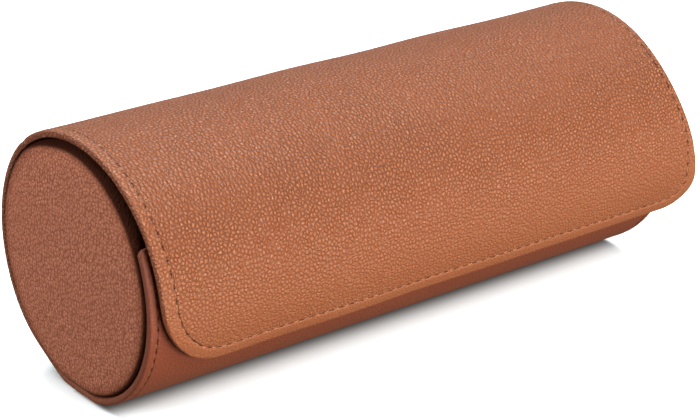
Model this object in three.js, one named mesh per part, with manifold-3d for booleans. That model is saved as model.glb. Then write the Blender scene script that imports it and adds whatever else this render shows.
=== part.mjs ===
// A hard round roll case for brushes: a leather-covered board trough with padded round ends, and one
// curved leather flap that swings up from the back edge and closes over the front wall on hidden magnets.
//
// Millimetres and degrees. X runs along the case, -Y is the front, +Z is up. The origin is the middle of
// the flat foot. Angles round the case start at the front, so 90 is the top and -90 the foot.
import * as THREE from "three";
import { mergeVertices } from "three/addons/utils/BufferGeometryUtils.js";
import Module from "manifold-3d";

// The whole case
const BODY_RADIUS = 44; // outside of the leather
const BODY_LENGTH = 219;
const FOOT_WIDTH = 18; // flat pressed along the bottom, so that the case doesn't roll
const LIP_ANGLE = 27; // top edge of the front wall
const HINGE_ANGLE = 128; // where the flap bends, behind the top
const TIP_ANGLE = -28; // lower edge of the closed flap

// Layers, from the outside in
const LEATHER = 0.9;
const BODY_BOARD = 1.3;
const FLAP_BOARD = 1.1;
const LINING = 0.4;
const GLUE_GAP = 0.1; // room left between two glued layers
const LINING_INSET = 1.4; // from a leather edge to the lining's edge

// The flap
const FLAP_LEFT_CORNER = 24; // radius of its free corner on the left
const FLAP_RIGHT_CORNER = 13;
const FLAP_LEFT_INSET = 4.5; // how far its left edge comes to stop short of the body's end
const FLAP_LEFT_CURVE = 2.5; // power of the way down the flap by which it does
const FLAP_RIGHT_OVERHANG = 12; // how far its right edge comes to run past the body's end
const FLAP_RIGHT_START = 0.3; // from there down the flap, on the scale of FLAP_CREST
const FLAP_RIGHT_END = 0.97;
const FLAP_RIGHT_CURVE = 2.2;
const FLAP_RISE = 4.1; // how far its outside comes to stand out from the body's radius
const FLAP_CREST = 0.7; // how far down it stands out most, from 0 at the hinge to 1 at the free edge
const FLAP_TUCK = 0.9; // how far it comes back in from there to the free edge

// The hinge, an unstiffened strip of leather and lining
const HINGE_STRIP = 6; // width of the strip round the case
const HINGE_CLEARANCE = 0.15; // between the strip and the pieces beside it

// The padded round ends
const END_RADIUS = 41.4;
const END_RECESS = 0.6; // from the body's end to the rim of the leather face
const END_DOME = 2; // how far the middle of the face stands out of its rim
const END_BOARD = 2;
const END_FOAM = 3.2;
const END_CLEARANCE = 0.3; // from the pieces round an end

// The magnetic catch
const MAGNET_RADIUS = 5;
const MAGNET_THICKNESS = 0.8;
const MAGNET_ANGLE = -13;
const MAGNET_X = 62; // either side of the middle
const POCKET_CLEARANCE = 0.3;
const POCKET_DEPTH = 4; // enough to pass through a board

// The elastic bands that hold the brushes
const BAND_THICKNESS = 1;
const BAND_WIDTH = 22;
const BAND_X = 58; // either side of the middle
const BAND_CENTRE_ANGLE = -95;
const BAND_END_ANGLE = 7; // sewn flat past the last loop
const LOOP_COUNT = 6;
const LOOP_PITCH_ANGLE = 28;
const LOOP_SEAM_ANGLE = 4.4; // sewn flat between two loops
const LOOP_HEIGHT = 10; // rise of a loop from the lining
const LOOP_FULLNESS = 0.8; // 1 makes a loop a sine arch, and less makes it squarer

// Facets
const SHEET_STEP_ANGLE = 5;
const CORNER_STEPS = 10;
const LOOP_STEPS = 10;
const END_SEGMENTS = 56;
const DOME_STEPS = 5;
const MAGNET_SEGMENTS = 24;

const { degToRad, radToDeg, smoothstep } = THREE.MathUtils;

// The body
const AXIS_HEIGHT = Math.sqrt(BODY_RADIUS ** 2 - (FOOT_WIDTH / 2) ** 2);
const BODY_WALL = LEATHER + GLUE_GAP + BODY_BOARD;
const HALF_LENGTH = BODY_LENGTH / 2;
const HALF_FOOT_ANGLE = radToDeg(Math.asin(FOOT_WIDTH / 2 / BODY_RADIUS));

// The hinge and the edges of the stiff pieces beside it
const HINGE_RADIUS = BODY_RADIUS - LEATHER / 2;
const HALF_STRIP_ANGLE = radToDeg(HINGE_STRIP / 2 / HINGE_RADIUS);
const CLEARANCE_ANGLE = radToDeg(HINGE_CLEARANCE / HINGE_RADIUS);
const BODY_HINGE_EDGE = HINGE_ANGLE + HALF_STRIP_ANGLE + CLEARANCE_ANGLE - 360;
const FLAP_HINGE_EDGE = HINGE_ANGLE - HALF_STRIP_ANGLE - CLEARANCE_ANGLE;

const FLAP_WALL = LEATHER + GLUE_GAP + FLAP_BOARD;
const FLAP_LINING_DEPTH = FLAP_WALL + GLUE_GAP + LINING;

// Distances in from the body's end
const END_BACK = END_RECESS + LEATHER + END_FOAM + END_BOARD + GLUE_GAP * 3;
const END_LINING_BACK = END_BACK + GLUE_GAP + LINING;
const HALF_LINING = HALF_LENGTH - END_LINING_BACK - END_CLEARANCE;

const LOOKS = {
  leather: { color: 0xb5653f, roughness: 0.5 },
  end_leather: { color: 0x9c6048, roughness: 0.55 },
  lining: { color: 0x8a6a52, roughness: 0.95 },
  board: { color: 0x9a9186, roughness: 0.9 },
  foam: { color: 0xd8d3c6, roughness: 1 },
  elastic: { color: 0x5a3826, roughness: 0.85 },
  magnet: { color: 0xb9bcc0, roughness: 0.3, metalness: 1 },
};

const wasm = await Module();
wasm.setup();

const roll = new THREE.Group();

function add(name, look, geometry) {
  const mesh = new THREE.Mesh(
    geometry,
    new THREE.MeshStandardMaterial(LOOKS[look]),
  );
  mesh.name = name;
  roll.add(mesh);
}

// The point at an angle round the case and a distance from its axis.
function onCircle(x, angle, radius) {
  const a = degToRad(angle);
  return new THREE.Vector3(
    x,
    -radius * Math.cos(a),
    AXIS_HEIGHT + radius * Math.sin(a),
  );
}

// Radius of the body's surface at a depth under its outside, flattened over the foot.
function bodyRadius(angle, depth) {
  const down = -Math.sin(degToRad(angle));
  const round = BODY_RADIUS - depth;
  return down > 0 ? Math.min(round, (AXIS_HEIGHT - depth) / down) : round;
}

// How far down the flap an angle lies: 0 at the hinge and 1 at the free edge.
function downFlap(angle) {
  const share = (FLAP_HINGE_EDGE - angle) / (FLAP_HINGE_EDGE - TIP_ANGLE);
  return Math.max(share, 0);
}

// Radius of the flap's surface at a depth under its outside.
function flapRadius(angle, depth) {
  const rise = FLAP_RISE * smoothstep(downFlap(angle), 0, FLAP_CREST);
  const tuck = FLAP_TUCK * smoothstep(downFlap(angle), FLAP_CREST, 1);
  return BODY_RADIUS + rise - tuck - depth;
}

// How far a side edge is drawn in by a round corner, on a sheet cut back by inset all round.
function cornerInset(angle, inset, fullCorner) {
  const corner = fullCorner - inset;
  const fromTip = degToRad(angle - TIP_ANGLE) * BODY_RADIUS - inset;
  if (fromTip >= corner) return 0;
  return corner - Math.sqrt(corner ** 2 - (corner - Math.max(fromTip, 0)) ** 2);
}

function flapLeft(angle, inset) {
  const stopsShort = FLAP_LEFT_INSET * downFlap(angle) ** FLAP_LEFT_CURVE;
  const corner = cornerInset(angle, inset, FLAP_LEFT_CORNER);
  return stopsShort - HALF_LENGTH + inset + corner;
}

function flapRight(angle, inset) {
  const share = smoothstep(downFlap(angle), FLAP_RIGHT_START, FLAP_RIGHT_END);
  const overhang = FLAP_RIGHT_OVERHANG * share ** FLAP_RIGHT_CURVE;
  const corner = cornerInset(angle, inset, FLAP_RIGHT_CORNER);
  return overhang + HALF_LENGTH - inset - corner;
}

function evenAngles(from, to) {
  const count = Math.ceil(Math.abs(to - from) / SHEET_STEP_ANGLE);
  return Array.from(
    { length: count + 1 },
    (_, i) => from + ((to - from) * i) / count,
  );
}

// Angles round the body, with one on each edge of the foot.
function bodyAngles(from, to) {
  const front = -90 + HALF_FOOT_ANGLE;
  const back = -90 - HALF_FOOT_ANGLE;
  return [
    ...evenAngles(from, front).slice(0, -1),
    ...evenAngles(front, back),
    ...evenAngles(back, to).slice(1),
  ];
}

// Angles down the flap, closer together round its corners.
function flapAngles(from, inset) {
  const tip = TIP_ANGLE + radToDeg(inset / BODY_RADIUS);
  const corner = radToDeg((FLAP_LEFT_CORNER - inset) / BODY_RADIUS);
  const angles = evenAngles(from, tip + corner);
  for (let i = 1; i <= CORNER_STEPS; i++) {
    const turn = (Math.PI / 2) * (i / CORNER_STEPS);
    angles.push(tip + corner * (1 - Math.sin(turn)));
  }
  return angles;
}

// A sheet bent round the axis, from left to right along X and inner to outer in radius at each angle.
function sheet({ angles, inner, outer, left, right }) {
  const sections = angles.map((a) => [
    onCircle(left(a), a, inner(a)),
    onCircle(right(a), a, inner(a)),
    onCircle(right(a), a, outer(a)),
    onCircle(left(a), a, outer(a)),
  ]);
  const positions = [];
  const face = (a, b, c, d) => {
    for (const p of [a, b, c, a, c, d]) positions.push(...p);
  };
  for (let i = 1; i < sections.length; i++) {
    const [before, after] = [sections[i - 1], sections[i]];
    for (let k = 0; k < 4; k++) {
      const next = (k + 1) % 4;
      face(before[k], before[next], after[next], after[k]);
    }
  }
  face(...sections[0].toReversed());
  face(...sections.at(-1));
  return new THREE.BufferGeometry().setAttribute(
    "position",
    new THREE.Float32BufferAttribute(positions, 3),
  );
}

function solid(geometry) {
  const bare = geometry.clone();
  bare.deleteAttribute("normal");
  bare.deleteAttribute("uv");
  const merged = mergeVertices(bare);
  return new wasm.Manifold(
    new wasm.Mesh({
      numProp: 3,
      vertProperties: merged.attributes.position.array,
      triVerts: new Uint32Array(merged.index.array),
    }),
  );
}

function subtract(base, ...tools) {
  const cut = tools.reduce(
    (left, tool) => left.subtract(solid(tool)),
    solid(base),
  );
  const mesh = cut.getMesh();
  return new THREE.BufferGeometry()
    .setAttribute("position", new THREE.BufferAttribute(mesh.vertProperties, 3))
    .setIndex(new THREE.BufferAttribute(mesh.triVerts, 1));
}

// The trough: leather turned over three edges of a board, and a lining between the round ends.
function makeBody() {
  const leatherAngle = radToDeg(LEATHER / BODY_RADIUS);
  const gapAngle = radToDeg(GLUE_GAP / BODY_RADIUS);
  const liningAngle = radToDeg(LINING_INSET / BODY_RADIUS);
  const layer = (from, to, outerDepth, innerDepth, halfLength) =>
    sheet({
      angles: bodyAngles(from, to),
      inner: (a) => bodyRadius(a, innerDepth),
      outer: (a) => bodyRadius(a, outerDepth),
      left: () => -halfLength,
      right: () => halfLength,
    });

  const whole = layer(LIP_ANGLE, BODY_HINGE_EDGE, 0, BODY_WALL, HALF_LENGTH);
  const boardRoom = layer(
    LIP_ANGLE - leatherAngle,
    BODY_HINGE_EDGE - CLEARANCE_ANGLE,
    LEATHER,
    BODY_WALL + LEATHER,
    HALF_LENGTH - LEATHER,
  );
  add("body_leather_cover", "leather", subtract(whole, boardRoom));

  const board = layer(
    LIP_ANGLE - leatherAngle - gapAngle,
    BODY_HINGE_EDGE,
    LEATHER + GLUE_GAP,
    BODY_WALL,
    HALF_LENGTH - LEATHER - GLUE_GAP,
  );
  add("body_board", "board", subtract(board, ...magnetPockets(bodyRadius)));

  const lining = layer(
    LIP_ANGLE - liningAngle,
    BODY_HINGE_EDGE,
    BODY_WALL + GLUE_GAP,
    BODY_WALL + GLUE_GAP + LINING,
    HALF_LINING,
  );
  add("body_lining", "lining", lining);
}

// The bare strip that bends when the flap swings.
function makeHinge() {
  const strip = (outerDepth, thickness, halfLength) =>
    sheet({
      angles: evenAngles(
        HINGE_ANGLE + HALF_STRIP_ANGLE,
        HINGE_ANGLE - HALF_STRIP_ANGLE + CLEARANCE_ANGLE,
      ),
      inner: () => BODY_RADIUS - outerDepth - thickness,
      outer: () => BODY_RADIUS - outerDepth,
      left: () => -halfLength,
      right: () => halfLength,
    });
  add("hinge_leather", "leather", strip(0, LEATHER, HALF_LENGTH));
  add("hinge_lining", "lining", strip(BODY_WALL, LINING, HALF_LINING));
}

// The flap: leather turned over three edges of a curved board, and a lining inside.
function makeFlap() {
  const layer = (from, outerDepth, innerDepth, inset, sides = {}) =>
    sheet({
      angles: flapAngles(from, inset),
      inner: (a) => flapRadius(a, innerDepth),
      outer: (a) => flapRadius(a, outerDepth),
      left: (a) => flapLeft(a, inset),
      right: (a) => flapRight(a, inset),
      ...sides,
    });

  const whole = layer(FLAP_HINGE_EDGE, 0, FLAP_WALL, 0);
  const boardRoom = layer(
    FLAP_HINGE_EDGE + CLEARANCE_ANGLE,
    LEATHER,
    FLAP_WALL + LEATHER,
    LEATHER,
  );
  add("flap_leather_cover", "leather", subtract(whole, boardRoom));

  const board = layer(
    FLAP_HINGE_EDGE,
    LEATHER + GLUE_GAP,
    FLAP_WALL,
    LEATHER + GLUE_GAP,
  );
  add("flap_board", "board", subtract(board, ...magnetPockets(flapRadius)));

  // The lining stops short of the round ends until the flap stands clear of them.
  const clearOfEnds = (a) =>
    flapRadius(a, FLAP_LINING_DEPTH) > END_RADIUS + END_CLEARANCE;
  const lining = layer(
    FLAP_HINGE_EDGE,
    FLAP_WALL + GLUE_GAP,
    FLAP_LINING_DEPTH,
    LINING_INSET,
    {
      left: (a) => (clearOfEnds(a) ? flapLeft(a, LINING_INSET) : -HALF_LINING),
      right: (a) => (clearOfEnds(a) ? flapRight(a, LINING_INSET) : HALF_LINING),
    },
  );
  add("flap_lining", "lining", lining);
}

// A disc set under the leather of a surface, touching it at its upper and lower edges.
function magnetDisc(x, surface, clearance, thickness) {
  const half = radToDeg(MAGNET_RADIUS / BODY_RADIUS);
  const underLeather = (angle) =>
    onCircle(x, angle, surface(angle, LEATHER + GLUE_GAP / 2));
  const low = underLeather(MAGNET_ANGLE - half);
  const high = underLeather(MAGNET_ANGLE + half);
  const outwards = new THREE.Vector3(1, 0, 0)
    .cross(high.clone().sub(low))
    .normalize();
  const middle = low
    .lerp(high, 0.5)
    .addScaledVector(outwards, -GLUE_GAP - MAGNET_THICKNESS / 2);
  const radius = MAGNET_RADIUS + clearance;
  const turn = new THREE.Quaternion().setFromUnitVectors(
    new THREE.Vector3(0, 1, 0),
    outwards,
  );
  return new THREE.CylinderGeometry(radius, radius, thickness, MAGNET_SEGMENTS)
    .applyQuaternion(turn)
    .translate(...middle);
}

function magnetPockets(surface) {
  return [-MAGNET_X, MAGNET_X].map((x) =>
    magnetDisc(x, surface, POCKET_CLEARANCE, POCKET_DEPTH),
  );
}

// Two magnets in a part's board, facing the two in the other part's.
function makeMagnets(part, surface) {
  const left = magnetDisc(-MAGNET_X, surface, 0, MAGNET_THICKNESS);
  const right = magnetDisc(MAGNET_X, surface, 0, MAGNET_THICKNESS);
  add(`${part}_magnet_left`, "magnet", left);
  add(`${part}_magnet_right`, "magnet", right);
}

// A profile of [distance in from the body's end, radius] points, turned about the case's axis and pressed
// flat over the foot. It is the right end's when sign is 1 and the left end's when it is -1.
function turned(profile, sign) {
  // LatheGeometry faces outwards when its profile runs up from the bottom.
  const points = profile
    .map(([inwards, radius]) => new THREE.Vector2(radius, HALF_LENGTH - inwards))
    .reverse();
  const geometry = new THREE.LatheGeometry(points, END_SEGMENTS);
  geometry.rotateZ((-sign * Math.PI) / 2);
  const pressed = END_RADIUS + END_CLEARANCE + BODY_WALL - AXIS_HEIGHT;
  const p = geometry.attributes.position;
  for (let i = 0; i < p.count; i++) {
    const radius = Math.hypot(p.getY(i), p.getZ(i));
    p.setZ(i, Math.max(p.getZ(i), pressed - radius));
  }
  return geometry.translate(0, 0, AXIS_HEIGHT);
}

// Profile points of a padded face, from its middle out to its rim.
function paddedFace(radius, rimInwards) {
  return Array.from({ length: DOME_STEPS + 1 }, (_, i) => {
    const turn = (Math.PI / 2) * (i / DOME_STEPS);
    const inwards = rimInwards - END_DOME * Math.cos(turn);
    return [inwards, radius * Math.sqrt(Math.sin(turn))];
  });
}

function discProfile(radius, front, back) {
  return [
    [front, 0],
    [front, radius],
    [back, radius],
    [back, 0],
  ];
}

// A padded end: leather drawn over foam and board, and a lining disc on the inside.
function makeEnd(side, sign) {
  const inside = END_RADIUS - LEATHER;
  const leather = [
    ...paddedFace(END_RADIUS, END_RECESS),
    [END_BACK, END_RADIUS],
    [END_BACK, inside],
    ...paddedFace(inside, END_RECESS + LEATHER).reverse(),
  ];
  add(`${side}_end_leather`, "end_leather", turned(leather, sign));

  const filling = inside - GLUE_GAP;
  const foamRim = END_RECESS + LEATHER + GLUE_GAP;
  const foamBack = foamRim + END_FOAM;
  const foam = [
    ...paddedFace(filling, foamRim),
    [foamBack, filling],
    [foamBack, 0],
  ];
  add(`${side}_end_foam`, "foam", turned(foam, sign));

  const boardFront = foamBack + GLUE_GAP;
  const board = discProfile(filling, boardFront, boardFront + END_BOARD);
  add(`${side}_end_board`, "board", turned(board, sign));

  const lining = discProfile(END_RADIUS, END_BACK + GLUE_GAP, END_LINING_BACK);
  add(`${side}_end_lining`, "lining", turned(lining, sign));
}

// The middle line of an elastic band across the case, as [Y, Z] points: flat on the lining where it is
// sewn, and arched between the seams.
function bandLine() {
  const depth = BODY_WALL + GLUE_GAP * 2 + LINING + BAND_THICKNESS / 2;
  const place = (angle, rise) => {
    const p = onCircle(0, angle, bodyRadius(angle, depth) - rise);
    return new THREE.Vector2(p.y, p.z);
  };
  const open = LOOP_PITCH_ANGLE - LOOP_SEAM_ANGLE;
  const start = BAND_CENTRE_ANGLE - (LOOP_COUNT * LOOP_PITCH_ANGLE) / 2;
  const line = [place(start - BAND_END_ANGLE, 0)];
  for (let loop = 0; loop < LOOP_COUNT; loop++) {
    const seamEnd = start + loop * LOOP_PITCH_ANGLE + LOOP_SEAM_ANGLE / 2;
    for (let i = 0; i <= LOOP_STEPS; i++) {
      const across = (1 - Math.cos((Math.PI * i) / LOOP_STEPS)) / 2;
      const rise = LOOP_HEIGHT * Math.sin(Math.PI * across) ** LOOP_FULLNESS;
      line.push(place(seamEnd + open * across, rise));
    }
  }
  line.push(place(start + LOOP_COUNT * LOOP_PITCH_ANGLE + BAND_END_ANGLE, 0));
  return line;
}

// The outline of a strip of even thickness along a line.
function thicken(line, thickness) {
  const edge = (side) =>
    line.map((point, i) => {
      const before = line[Math.max(i - 1, 0)];
      const after = line[Math.min(i + 1, line.length - 1)];
      const along = after.clone().sub(before).normalize();
      const across = new THREE.Vector2(along.y, -along.x);
      return point.clone().addScaledVector(across, (side * thickness) / 2);
    });
  return [...edge(1), ...edge(-1).reverse()];
}

function makeBand(name, x) {
  const outline = new THREE.Shape(thicken(bandLine(), BAND_THICKNESS));
  const geometry = new THREE.ExtrudeGeometry(outline, {
    depth: BAND_WIDTH,
    bevelEnabled: false,
  });
  const acrossCase = new THREE.Matrix4().makeBasis(
    new THREE.Vector3(0, 1, 0),
    new THREE.Vector3(0, 0, 1),
    new THREE.Vector3(1, 0, 0),
  );
  geometry.applyMatrix4(acrossCase).translate(x - BAND_WIDTH / 2, 0, 0);
  add(name, "elastic", geometry);
}

makeBody();
makeHinge();
makeFlap();
makeMagnets("body", bodyRadius);
makeMagnets("flap", flapRadius);
makeEnd("left", -1);
makeEnd("right", 1);
makeBand("elastic_band_left", -BAND_X);
makeBand("elastic_band_right", BAND_X);

export default roll;
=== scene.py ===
"""A closed hard round roll case for brushes, in pebbled tan leather, on a white floor.

Metres and radians. X runs along the case, -Y is the front and +Z is up. Angles round the case start at
the front, so a quarter turn is the top. The wall is one wrap of leather and lining. A place on it is x
along the case and v round it: v is 0 where the flap leaves the hinge, negative down the flap, and positive
over the hinge strip and on round the body to the front wall. A depth is measured in from the outside.
"""

import math

import bpy
import numpy as np
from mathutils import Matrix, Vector


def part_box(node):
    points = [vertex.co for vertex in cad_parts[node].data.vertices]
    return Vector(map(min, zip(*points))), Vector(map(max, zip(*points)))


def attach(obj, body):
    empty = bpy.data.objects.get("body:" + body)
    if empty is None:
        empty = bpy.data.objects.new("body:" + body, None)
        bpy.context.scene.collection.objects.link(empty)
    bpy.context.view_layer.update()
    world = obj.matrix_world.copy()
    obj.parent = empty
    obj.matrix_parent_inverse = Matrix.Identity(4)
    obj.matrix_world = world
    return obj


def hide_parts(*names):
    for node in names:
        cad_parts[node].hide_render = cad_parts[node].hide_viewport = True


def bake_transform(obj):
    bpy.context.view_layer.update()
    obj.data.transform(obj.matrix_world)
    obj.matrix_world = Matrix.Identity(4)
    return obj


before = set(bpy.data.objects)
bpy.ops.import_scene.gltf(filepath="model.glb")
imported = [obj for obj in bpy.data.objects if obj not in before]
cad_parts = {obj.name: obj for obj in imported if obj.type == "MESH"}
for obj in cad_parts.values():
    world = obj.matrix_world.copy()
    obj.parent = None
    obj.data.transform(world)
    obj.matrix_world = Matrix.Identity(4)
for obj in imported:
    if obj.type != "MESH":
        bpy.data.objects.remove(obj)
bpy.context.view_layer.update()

MM = 0.001
DEG = math.pi / 180

# The case, as in the CAD
RADIUS = 44 * MM
FOOT_WIDTH = 18 * MM
AXIS_Z = math.sqrt(RADIUS**2 - (FOOT_WIDTH / 2) ** 2)
HALF_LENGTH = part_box("body_leather_cover")[1].x
HALF_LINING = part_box("body_lining")[1].x
LIP_ANGLE = 27 * DEG
HINGE_ANGLE = 128 * DEG
TIP_ANGLE = -28 * DEG
HINGE_STRIP = 6.3 * MM
FLAP_ANGLE = HINGE_ANGLE - HINGE_STRIP / 2 / RADIUS
FLAP_LENGTH = (FLAP_ANGLE - TIP_ANGLE) * RADIUS
BODY_LENGTH = (2 * math.pi + LIP_ANGLE - FLAP_ANGLE) * RADIUS - HINGE_STRIP
FRONT_WALL = HINGE_STRIP + BODY_LENGTH - (LIP_ANGLE + 90 * DEG) * RADIUS  # where it rises from the foot
FLAP_RISE = 4.1 * MM  # how far the flap comes to stand off the body's circle
FLAP_CREST = 0.7  # where along it that is, as a share of its length
FLAP_TUCK = 0.9 * MM  # how far its free edge turns back in
FLAP_LEFT_INSET = 4.5 * MM  # how far its left edge comes to stop short of the body's end
FLAP_RIGHT_OVERHANG = 12 * MM
FLAP_CORNERS = (24 * MM, 13 * MM)  # radius of the left and the right one
BODY_CORNER = 2.5 * MM

# The leather, and the lining on the inside of it
WALL = 2.4 * MM  # leather, board and turned leather together
HIDE = 0.85 * MM
EDGE_SQUARE = 0.6  # 1 would turn the edges to a half round, and less makes them squarer
HEM_MARGIN = 9 * MM  # how far the turned leather runs in under the lining
LINING = 0.45 * MM
LINING_INSET = 1.3 * MM
HINGE_SINK = 0.25 * MM  # the strip with no board under it lies a little lower
WAVER = 0.16 * MM  # size of the hand-laid leather's slow hollows and swells

# Seams
FLAP_SEAM = 3.9 * MM  # from the leather's edge to the stitches
RIGHT_SEAM_CLOSER = 1.4 * MM  # how much nearer to the edge they run on the right
TIP_SEAM = 4.8 * MM
BODY_SEAM = 2.9 * MM
SEAM_CHANGE = 25 * MM  # over which one distance runs into another, from the hinge on
STITCH_PITCH = 3.95 * MM
STITCH_SHARE = 0.66  # of the pitch
THREAD_RADIUS = 0.22 * MM
SIDE_SINK = 0.26 * MM  # how much deeper the thread is drawn in beside the hinge
TIP_SINK = 0.104 * MM  # and along the free edge
SEAM_SINK = 0.34 * MM  # depth of the groove that the stitches pull in the leather
SEAM_SPREAD = 0.28 * MM
HEM_PUFF = 0.08 * MM  # how far the leather swells between the seam and the edge

# The padded ends
END_RADIUS = 41.4 * MM
END_FOOT = WALL + 0.2 * MM
END_ROUND = 1.5 * MM  # where the body's wrap is drawn tight round it
END_LOOSE_ROUND = 6.5 * MM  # where only the flap passes over it
END_PROUD = 0.5 * MM  # how far the rim of its face stands out of the case
END_CROWN = 1.3 * MM  # how much further its middle does
END_SKIRT = 5 * MM  # from the case's end to where the side is straight
END_BACK = 7 * MM
END_HIDE = 0.9 * MM  # thickness of its leather
FOAM_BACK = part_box("left_end_foam")[1].x + HALF_LENGTH
END_MARGIN = 8 * MM  # how far the leather runs in behind
DISC_SIDES = 180
SIDE_SPREAD = 1.5  # how much the map of a disc is drawn out down its side

# The elastic bands
BAND_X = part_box("elastic_band_right")[0].x / 2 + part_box("elastic_band_right")[1].x / 2
BAND_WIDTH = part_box("elastic_band_right")[1].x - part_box("elastic_band_right")[0].x
BAND_THICKNESS = 0.9 * MM
BAND_GAP = 0.05 * MM  # between the elastic and the suede
BAND_CENTRE = -95 * DEG
BAND_END = 7 * DEG  # sewn flat past the last seam
LOOPS = 6
LOOP_PITCH = 28 * DEG
LOOP_SEAM = 4.4 * DEG
LOOP_HEIGHT = 10 * MM
BAND_START = BAND_CENTRE - LOOPS * LOOP_PITCH / 2
BAR_STITCHES = 9  # in each of the two rows that hold a seam down
BAR_PITCH = 2.3 * MM
BAR_STITCH = 1.7 * MM
BAR_ROW = 0.8 * DEG  # either side of the seam's middle
BAR_THREAD = 0.2 * MM


# -------------------------------- places on the case


def smoothstep(value, low, high):
    t = np.clip((value - low) / (high - low), 0, 1)
    return t * t * (3 - 2 * t)


def on_circle(x, angle, radius):
    """Points at an angle round the case and a distance from its axis."""
    x, angle, radius = np.broadcast_arrays(x, angle, radius)
    return np.stack([x, -radius * np.cos(angle), AXIS_Z + radius * np.sin(angle)], axis=-1)


def foot_radius(angle, radius, foot_z):
    """A radius, pressed to a flat with soft edges at a height over the floor."""
    soft = 0.12 * MM
    press = radius - (AXIS_Z - foot_z) / np.maximum(-np.sin(angle), 0.2)
    return radius - soft * np.logaddexp(0, press / soft)


def wrap_radius(v):
    """Radius of the wrap's outside."""
    angle = FLAP_ANGLE + v / RADIUS
    down = np.clip(-v / FLAP_LENGTH, 0, 1)
    rise = FLAP_RISE * smoothstep(down, 0, FLAP_CREST)
    tuck = FLAP_TUCK * smoothstep(down, FLAP_CREST, 1)
    sink = HINGE_SINK * np.sin(math.pi * np.clip(v / HINGE_STRIP, 0, 1)) ** 2
    return np.where(v > HINGE_STRIP, foot_radius(angle, RADIUS, 0), RADIUS + rise - tuck - sink)


def waver(x, v):
    """Slow hollows and swells of the leather, none of them at the foot."""
    angle = FLAP_ANGLE + v / RADIUS
    swell = np.sin(x / (17 * MM) + 1.3 * np.sin(v / (23 * MM))) * np.sin(v / (14 * MM) + x / (41 * MM))
    swell = swell + 0.6 * np.sin(x / (9 * MM) - v / (12 * MM) + 2)
    return WAVER * swell * smoothstep(np.sin(angle), -0.95, -0.4)


def on_wrap(x, v, depth):
    """Places on the wrap, at a depth under its outside."""
    return on_circle(x, FLAP_ANGLE + v / RADIUS, wrap_radius(v) + waver(x, v) - depth)


def round_square(a, b):
    """Turns places in a unit square into places in a quarter disc, with the far corner on the arc."""
    big, small = np.maximum(a, b), np.minimum(a, b)
    turn = np.pi / 4 * small / np.maximum(big, 1e-9)
    turn = np.where(a >= b, turn, np.pi / 2 - turn)
    return big * np.cos(turn), big * np.sin(turn)


# -------------------------------- meshes


def make_object(name, points, faces, material, maps=()):
    """A smooth mesh object whose open edges are sharp. maps are (name, a pair for each point)."""
    mesh = bpy.data.meshes.new(name)
    mesh.from_pydata(np.asarray(points).tolist(), [], [[int(i) for i in f] for f in faces])
    loop_points = np.zeros(len(mesh.loops), np.int64)
    mesh.loops.foreach_get("vertex_index", loop_points)
    for map_name, places in maps:
        layer = mesh.uv_layers.new(name=map_name)
        layer.data.foreach_set("uv", places[loop_points].astype(np.float32).ravel())
    mesh.materials.append(material)
    mesh.shade_smooth()
    loop_edges = np.zeros(len(mesh.loops), np.int64)
    mesh.loops.foreach_get("edge_index", loop_edges)
    open_edges = np.bincount(loop_edges, minlength=len(mesh.edges)) == 1
    mesh.edges.foreach_set("use_edge_sharp", open_edges)
    obj = bpy.data.objects.new(name, mesh)
    bpy.context.scene.collection.objects.link(obj)
    return obj


def grid_faces(index):
    """Quads between the neighbours in a grid of point numbers."""
    corners = [index[:-1, :-1], index[1:, :-1], index[1:, 1:], index[:-1, 1:]]
    return np.stack(corners, axis=-1).reshape(-1, 4)


def pairs(a, b):
    """Two arrays as a list of pairs."""
    return np.stack([a, b], axis=-1).reshape(-1, 2)


def thicken(obj, thickness, offset=-1):
    """Gives a sheet its thickness, inwards from the face that is modelled, or both ways if offset is 0."""
    solidify = obj.modifiers.new("thickness", "SOLIDIFY")
    solidify.thickness = thickness
    solidify.offset = offset


def settle(obj):
    """Applies an object's modifiers to its mesh."""
    bpy.context.view_layer.update()
    final = obj.evaluated_get(bpy.context.evaluated_depsgraph_get())
    mesh = bpy.data.meshes.new_from_object(final)
    obj.modifiers.clear()
    obj.data = mesh


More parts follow.
